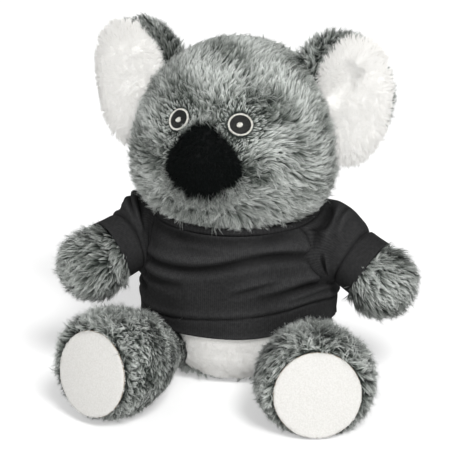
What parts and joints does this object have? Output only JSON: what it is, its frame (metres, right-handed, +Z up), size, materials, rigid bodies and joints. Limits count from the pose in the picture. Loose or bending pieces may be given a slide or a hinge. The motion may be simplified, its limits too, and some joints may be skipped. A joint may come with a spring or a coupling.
{
  "type": "plush koala toy",
  "caption": "Seated plush koala with long grey fur, white ear linings, belly and soles, and a dark short-sleeved knitted T-shirt; its head, ears, arms and legs flex at their seams.",
  "frame": {"origin": "middle of the flat of the seat, on the plane the toy sits on", "axes": "+Z up, -Y the way the body faces, +X towards the koala's own left"},
  "size_m": [0.1486, 0.1295, 0.1517],
  "materials": {
    "grey_plush": "matte",
    "white_plush": "matte",
    "black_plush": "matte",
    "charcoal_knit": "matte",
    "white_thread": "satin",
    "black_thread": "satin"
  },
  "bodies": {
    "body": {"torso_plush": "grey_plush", "belly_panel": "white_plush", "shirt_front": "charcoal_knit", "shirt_back": "charcoal_knit", "neck_band": "charcoal_knit"},
    "head": {"head_plush": "grey_plush", "nose_pad": "black_plush", "eye_ring_left": "white_thread", "eye_iris_left": "black_thread", "eye_glint_left": "white_thread", "eye_ring_right": "white_thread", "eye_iris_right": "black_thread", "eye_glint_right": "white_thread"},
    "ear_left": {"ear_back_left": "grey_plush", "ear_lining_left": "white_plush"},
    "ear_right": {"ear_back_right": "grey_plush", "ear_lining_right": "white_plush"},
    "arm_left": {"arm_left": "grey_plush", "sleeve_left": "charcoal_knit"},
    "arm_right": {"arm_right": "grey_plush", "sleeve_right": "charcoal_knit"},
    "leg_left": {"leg_left": "grey_plush", "sole_left": "white_plush"},
    "leg_right": {"leg_right": "grey_plush", "sole_right": "white_plush"}
  },
  "joints": [
    {"name": "head_turn", "type": "hinge", "parent": "body", "child": "head", "pos_m": [0, -0.004, 0.1055], "axis": [0, 0, 1], "range_deg": [-15, 15], "stiffness_Nm_per_rad": 0.06},
    {"name": "ear_flex_left", "type": "hinge", "parent": "head", "child": "ear_left", "pos_m": [0.0348, -0.0065, 0.1251], "axis": [-0.1217, 0.0064, -0.9925], "range_deg": [-7, 7], "stiffness_Nm_per_rad": 0.02},
    {"name": "ear_flex_right", "type": "hinge", "parent": "head", "child": "ear_right", "pos_m": [-0.0332, 0.0068, 0.1251], "axis": [-0.1152, 0.0397, 0.9925], "range_deg": [-7, 7], "stiffness_Nm_per_rad": 0.02},
    {"name": "arm_lift_left", "type": "hinge", "parent": "body", "child": "arm_left", "pos_m": [0.0375, -0.006, 0.059], "axis": [-0.342, -0.9397, 0], "range_deg": [-5, 25], "stiffness_Nm_per_rad": 0.08},
    {"name": "arm_lift_right", "type": "hinge", "parent": "body", "child": "arm_right", "pos_m": [-0.0375, -0.006, 0.059], "axis": [-0.6691, 0.7431, 0], "range_deg": [-5, 20], "stiffness_Nm_per_rad": 0.08},
    {"name": "leg_splay_left", "type": "hinge", "parent": "body", "child": "leg_left", "pos_m": [0.032, -0.022, 0.0142], "axis": [0, 0, 1], "range_deg": [-6, 12], "stiffness_Nm_per_rad": 0.08},
    {"name": "leg_splay_right", "type": "hinge", "parent": "body", "child": "leg_right", "pos_m": [-0.032, -0.022, 0.0142], "axis": [0, 0, -1], "range_deg": [-6, 12], "stiffness_Nm_per_rad": 0.08}
  ]
}
